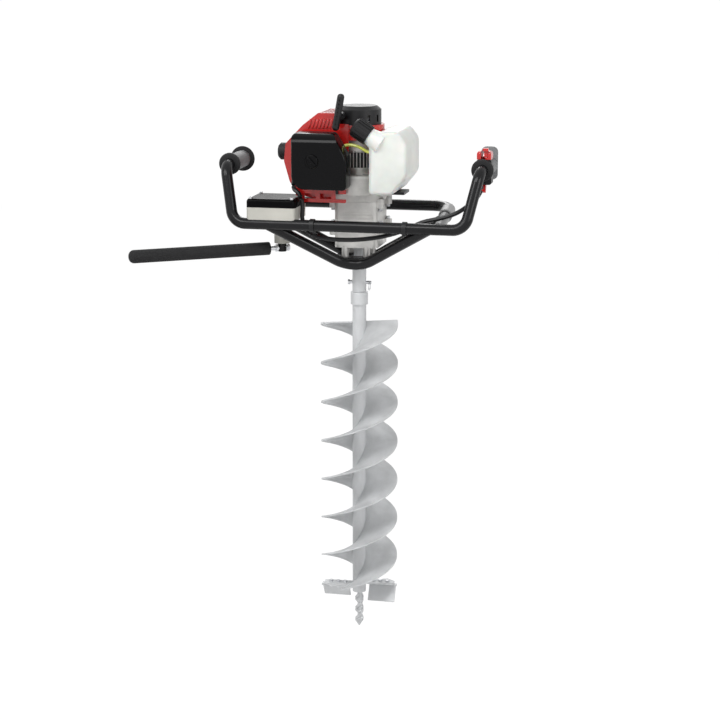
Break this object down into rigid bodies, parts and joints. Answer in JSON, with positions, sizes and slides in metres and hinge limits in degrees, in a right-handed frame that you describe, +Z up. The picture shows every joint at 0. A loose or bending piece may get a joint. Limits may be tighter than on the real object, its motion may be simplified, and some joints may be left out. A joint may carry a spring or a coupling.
{
  "type": "earth auger",
  "caption": "Hand-held two-stroke earth auger: tube frame with two grips, engine over a gearbox, kick-back leg bar and a double-flight bit.",
  "frame": {"origin": "the bit's tip on the drive axis", "axes": "+Z up along the drive axis, +X to the right of an operator who stands at -Y and faces +Y"},
  "size_m": [0.7912, 0.385, 1.2765],
  "materials": {
    "black_tube": "gloss black powder coat",
    "bright_steel": "bright zinc plate",
    "bit_steel": "pale grey satin paint",
    "blade_steel": "ground steel",
    "cast_alloy": "cast, satin",
    "dark_alloy": "cast, matte",
    "gear_steel": "oiled",
    "grey_plastic": "moulded, fine grain",
    "black_plastic": "moulded, fine grain",
    "gloss_black_plastic": "gloss moulded",
    "red_plastic": "gloss moulded",
    "tank_plastic": "translucent natural",
    "black_rubber": "matte",
    "foam_sleeve": "closed-cell foam",
    "cable_sheath": "satin",
    "hose_pvc": "clear yellow-green",
    "box_grey": "moulded, fine grain",
    "filter_foam": "pleated paper and foam",
    "porcelain": "glazed",
    "brass_lever": "yellow zinc plate",
    "sleeve_grey": "moulded",
    "muffler_steel": "heat-resistant satin",
    "primer_rubber": "translucent"
  },
  "bodies": {
    "frame": {"front_handlebar": "black_tube", "rear_hoop": "black_tube", "front_v_tube": "black_tube", "rear_v_tube": "black_tube", "base_plate": "black_tube", "hoop_sleeves": "sleeve_grey", "left_grip": "grey_plastic", "throttle_housing": "grey_plastic", "throttle_cable": "cable_sheath", "cable_clips": "black_plastic", "m6_screws": "bright_steel", "gearbox_lower": "cast_alloy", "gearbox_upper": "cast_alloy", "bearings_and_seal": "bright_steel", "clutch_housing": "dark_alloy", "crankcase": "cast_alloy", "cylinder": "cast_alloy", "spark_plug": "porcelain", "plug_boot": "black_rubber", "muffler": "muffler_steel", "engine_shroud": "red_plastic", "starter_housing": "black_plastic", "rewind_spring": "gear_steel", "carburettor": "cast_alloy", "filter_base": "black_plastic", "filter_element": "filter_foam", "filter_cover": "gloss_black_plastic", "fuel_tank": "tank_plastic", "fuel_hose": "hose_pvc", "tank_bracket": "black_plastic", "switch_box_base": "box_grey", "switch_box_lid": "black_plastic"},
    "bit": {"output_gear": "gear_steel", "output_shaft": "gear_steel", "auger_tube": "bit_steel", "flight_a": "bit_steel", "flight_b": "bit_steel", "shaft_pin": "bright_steel", "cutting_blades": "blade_steel", "blade_bolts": "bright_steel", "pilot_tip": "blade_steel"},
    "intermediate": {"intermediate_gear": "gear_steel"},
    "drum": {"clutch_drum": "gear_steel"},
    "crank": {"crankshaft": "gear_steel", "flywheel": "cast_alloy", "clutch_shoes": "gear_steel"},
    "piston": {"piston": "cast_alloy"},
    "pulley": {"starter_pulley": "box_grey"},
    "starter_handle": {"starter_handle": "black_plastic"},
    "trigger": {"throttle_trigger": "red_plastic"},
    "lock_lever": {"trigger_lock": "red_plastic"},
    "stop_button": {"stop_switch": "red_plastic"},
    "carb_lever": {"throttle_lever": "brass_lever"},
    "choke": {"choke_lever": "black_plastic"},
    "primer": {"primer_bulb": "primer_rubber"},
    "cover_knob": {"filter_knob": "gloss_black_plastic"},
    "tank_cap": {"fuel_cap": "black_plastic"},
    "leg_bar": {"pivot_shaft": "black_tube", "leg_bar_rod": "bright_steel", "leg_bar_foam": "foam_sleeve"}
  },
  "joints": [
    {"name": "bit_spin", "type": "hinge", "parent": "frame", "child": "bit", "pos_m": [0, 0, 0], "axis": [0, 0, 1], "continuous": true},
    {"name": "intermediate_spin", "type": "hinge", "parent": "frame", "child": "intermediate", "pos_m": [0, 0.036, 0.95], "axis": [0, 0, 1], "continuous": true},
    {"name": "drum_spin", "type": "hinge", "parent": "frame", "child": "drum", "pos_m": [0, 0, 1], "axis": [0, 0, 1], "continuous": true},
    {"name": "crank_spin", "type": "hinge", "parent": "frame", "child": "crank", "pos_m": [0, 0, 1.136], "axis": [0, 0, 1], "continuous": true},
    {"name": "piston_travel", "type": "slide", "parent": "frame", "child": "piston", "axis": [1, 0, 0], "range_m": [0, 0.034]},
    {"name": "starter_pull", "type": "slide", "parent": "frame", "child": "starter_handle", "axis": [0, -1, 0], "range_m": [0, 0.6], "stiffness_N_per_m": 12, "springref_m": -0.1},
    {"name": "pulley_spin", "type": "hinge", "parent": "frame", "child": "pulley", "pos_m": [0, 0, 1.224], "axis": [0, 0, 1], "range_deg": [0, 1190]},
    {"name": "trigger_squeeze", "type": "hinge", "parent": "frame", "child": "trigger", "pos_m": [0.291, -0.024, 1.084], "axis": [-1, 0, 0], "range_deg": [0, 18], "stiffness_Nm_per_rad": 0.4, "springref_deg": -17.19},
    {"name": "carb_lever_turn", "type": "hinge", "parent": "frame", "child": "carb_lever", "pos_m": [-0.094, -0.07, 1.1363], "axis": [1, 0, 0], "range_deg": [0, 60]},
    {"name": "lock_press", "type": "hinge", "parent": "frame", "child": "lock_lever", "pos_m": [0.291, -0.022, 1.134], "axis": [1, 0, 0], "range_deg": [-5, 0], "stiffness_Nm_per_rad": 0.3, "springref_deg": 17.19},
    {"name": "stop_slide", "type": "slide", "parent": "frame", "child": "stop_button", "axis": [0, -1, 0], "range_m": [0, 0.006]},
    {"name": "choke_turn", "type": "hinge", "parent": "frame", "child": "choke", "pos_m": [-0.034, -0.078, 1.077], "axis": [0, 1, 0], "range_deg": [0, 60]},
    {"name": "primer_press", "type": "slide", "parent": "frame", "child": "primer", "axis": [0, 0, 1], "range_m": [0, 0.004], "stiffness_N_per_m": 400, "springref_m": -0.002},
    {"name": "cover_knob_turn", "type": "hinge", "parent": "frame", "child": "cover_knob", "pos_m": [-0.08, -0.12, 1.129], "axis": [0, 1, 0], "range_deg": [0, 90]},
    {"name": "tank_cap_turn", "type": "hinge", "parent": "frame", "child": "tank_cap", "pos_m": [0.031, -0.084, 1.19], "axis": [-0.8412, 0, 0.5408], "range_deg": [0, 90]},
    {"name": "leg_bar_swing", "type": "hinge", "parent": "frame", "child": "leg_bar", "pos_m": [-0.172, -0.042, 0.919], "axis": [0, 0, 1], "range_deg": [-30, 0], "stiffness_Nm_per_rad": 2, "springref_deg": 8.59}
  ],
  "couplings": [
    {"joint": "intermediate_spin", "follows": "bit_spin", "ratio": -4.3333},
    {"joint": "drum_spin", "follows": "bit_spin", "ratio": 26.867},
    {"joint": "pulley_spin", "follows": "starter_pull", "rad_per_m": 34.483},
    {"joint": "carb_lever_turn", "follows": "trigger_squeeze", "ratio": 3.3333}
  ]
}
